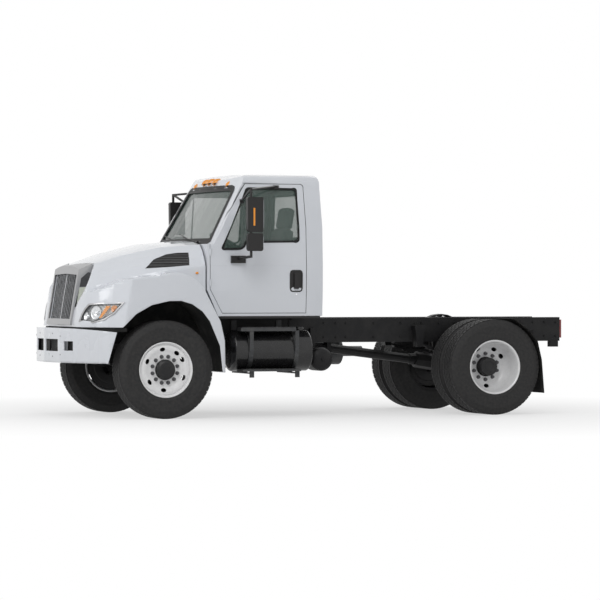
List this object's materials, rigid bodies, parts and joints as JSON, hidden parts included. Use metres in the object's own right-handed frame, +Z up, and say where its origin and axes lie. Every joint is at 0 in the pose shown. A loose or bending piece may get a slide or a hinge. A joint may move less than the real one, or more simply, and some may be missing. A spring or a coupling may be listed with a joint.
{
  "type": "two-axle bonneted truck tractor unit",
  "caption": "Bonneted day-cab truck on a bare ladder frame, with steered front wheels, twin rear wheels, a tilting hood, opening doors and a side fuel tank.",
  "frame": {"origin": "on the ground under the middle of the truck's overall length and width", "axes": "+X forward out of the grille, +Y to the driver's left, +Z up"},
  "size_m": [5.934, 2.8, 2.65],
  "materials": {
    "paint_white": "gloss",
    "frame_black": "satin",
    "engine_grey": "matte",
    "tank_black": "gloss",
    "step_grey": "matte",
    "flap_black": "matte",
    "lamp_red": "gloss",
    "lamp_amber": "gloss",
    "glass": "gloss",
    "dash_grey": "matte",
    "seat_cloth": "matte",
    "chrome": "polished",
    "lamp_clear": "gloss",
    "vent_black": "matte",
    "mirror_black": "satin",
    "tyre": "matte",
    "rim_white": "gloss"
  },
  "bodies": {
    "chassis": {"frame_rails": "frame_black", "crossmembers": "frame_black", "front_bumper": "paint_white", "hood_mounts": "frame_black", "front_axle": "frame_black", "rear_axle": "frame_black", "leaf_springs": "frame_black", "drive_shaft": "frame_black", "engine": "engine_grey", "transmission": "engine_grey", "radiator": "engine_grey", "fuel_tank": "tank_black", "tank_fittings": "step_grey", "battery_box": "tank_black", "exhaust": "step_grey", "air_tank": "frame_black", "rear_mudguards": "flap_black", "tail_lamps": "lamp_red", "cab_shell": "paint_white", "cab_windows": "glass", "dashboard": "dash_grey", "seats": "seat_cloth", "steering_wheel": "dash_grey", "roof_lamps": "lamp_amber"},
    "hood": {"hood": "paint_white", "grille_surround": "chrome", "grille_bars": "chrome", "headlamps": "lamp_clear", "hood_vents": "vent_black"},
    "door_left": {"door_left": "paint_white", "door_glass_left": "glass", "door_mirror_left": "mirror_black"},
    "door_right": {"door_right": "paint_white", "door_glass_right": "glass", "door_mirror_right": "mirror_black"},
    "knuckle_left": {"knuckle_left": "frame_black"},
    "knuckle_right": {"knuckle_right": "frame_black"},
    "tie_rod": {"tie_rod": "frame_black"},
    "wheel_front_left": {"tyre_front_left": "tyre", "rim_front_left": "rim_white"},
    "wheel_front_right": {"tyre_front_right": "tyre", "rim_front_right": "rim_white"},
    "wheels_rear_left": {"tyres_rear_left": "tyre", "rims_rear_left": "rim_white"},
    "wheels_rear_right": {"tyres_rear_right": "tyre", "rims_rear_right": "rim_white"}
  },
  "joints": [
    {"name": "hood_tilt", "type": "hinge", "parent": "chassis", "child": "hood", "pos_m": [2.89, 0, 0.65], "axis": [0, 1, 0], "range_deg": [0, 65]},
    {"name": "door_left_swing", "type": "hinge", "parent": "chassis", "child": "door_left", "pos_m": [1.406, 1.015, 1.7], "axis": [0, 0, -1], "range_deg": [0, 70]},
    {"name": "door_right_swing", "type": "hinge", "parent": "chassis", "child": "door_right", "pos_m": [1.406, -1.015, 1.7], "axis": [0, 0, 1], "range_deg": [0, 70]},
    {"name": "steer_left", "type": "hinge", "parent": "chassis", "child": "knuckle_left", "pos_m": [1.945, 0.88, 0.525], "axis": [0, 0, 1], "range_deg": [-38, 38]},
    {"name": "steer_right", "type": "hinge", "parent": "chassis", "child": "knuckle_right", "pos_m": [1.945, -0.88, 0.525], "axis": [0, 0, 1], "range_deg": [-38, 38]},
    {"name": "tie_rod_pivot", "type": "hinge", "parent": "knuckle_left", "child": "tie_rod", "pos_m": [1.745, 0.88, 0.4], "axis": [0, 0, 1], "range_deg": [-38, 38]},
    {"name": "wheel_front_left_spin", "type": "hinge", "parent": "knuckle_left", "child": "wheel_front_left", "pos_m": [1.945, 1.02, 0.525], "axis": [0, 1, 0], "continuous": true},
    {"name": "wheel_front_right_spin", "type": "hinge", "parent": "knuckle_right", "child": "wheel_front_right", "pos_m": [1.945, -1.02, 0.525], "axis": [0, 1, 0], "continuous": true},
    {"name": "wheels_rear_left_spin", "type": "hinge", "parent": "chassis", "child": "wheels_rear_left", "pos_m": [-1.822, 0.921, 0.525], "axis": [0, 1, 0], "continuous": true},
    {"name": "wheels_rear_right_spin", "type": "hinge", "parent": "chassis", "child": "wheels_rear_right", "pos_m": [-1.822, -0.921, 0.525], "axis": [0, 1, 0], "continuous": true}
  ],
  "couplings": [
    {"joint": "steer_right", "follows": "steer_left", "ratio": 1},
    {"joint": "tie_rod_pivot", "follows": "steer_left", "ratio": -1}
  ]
}
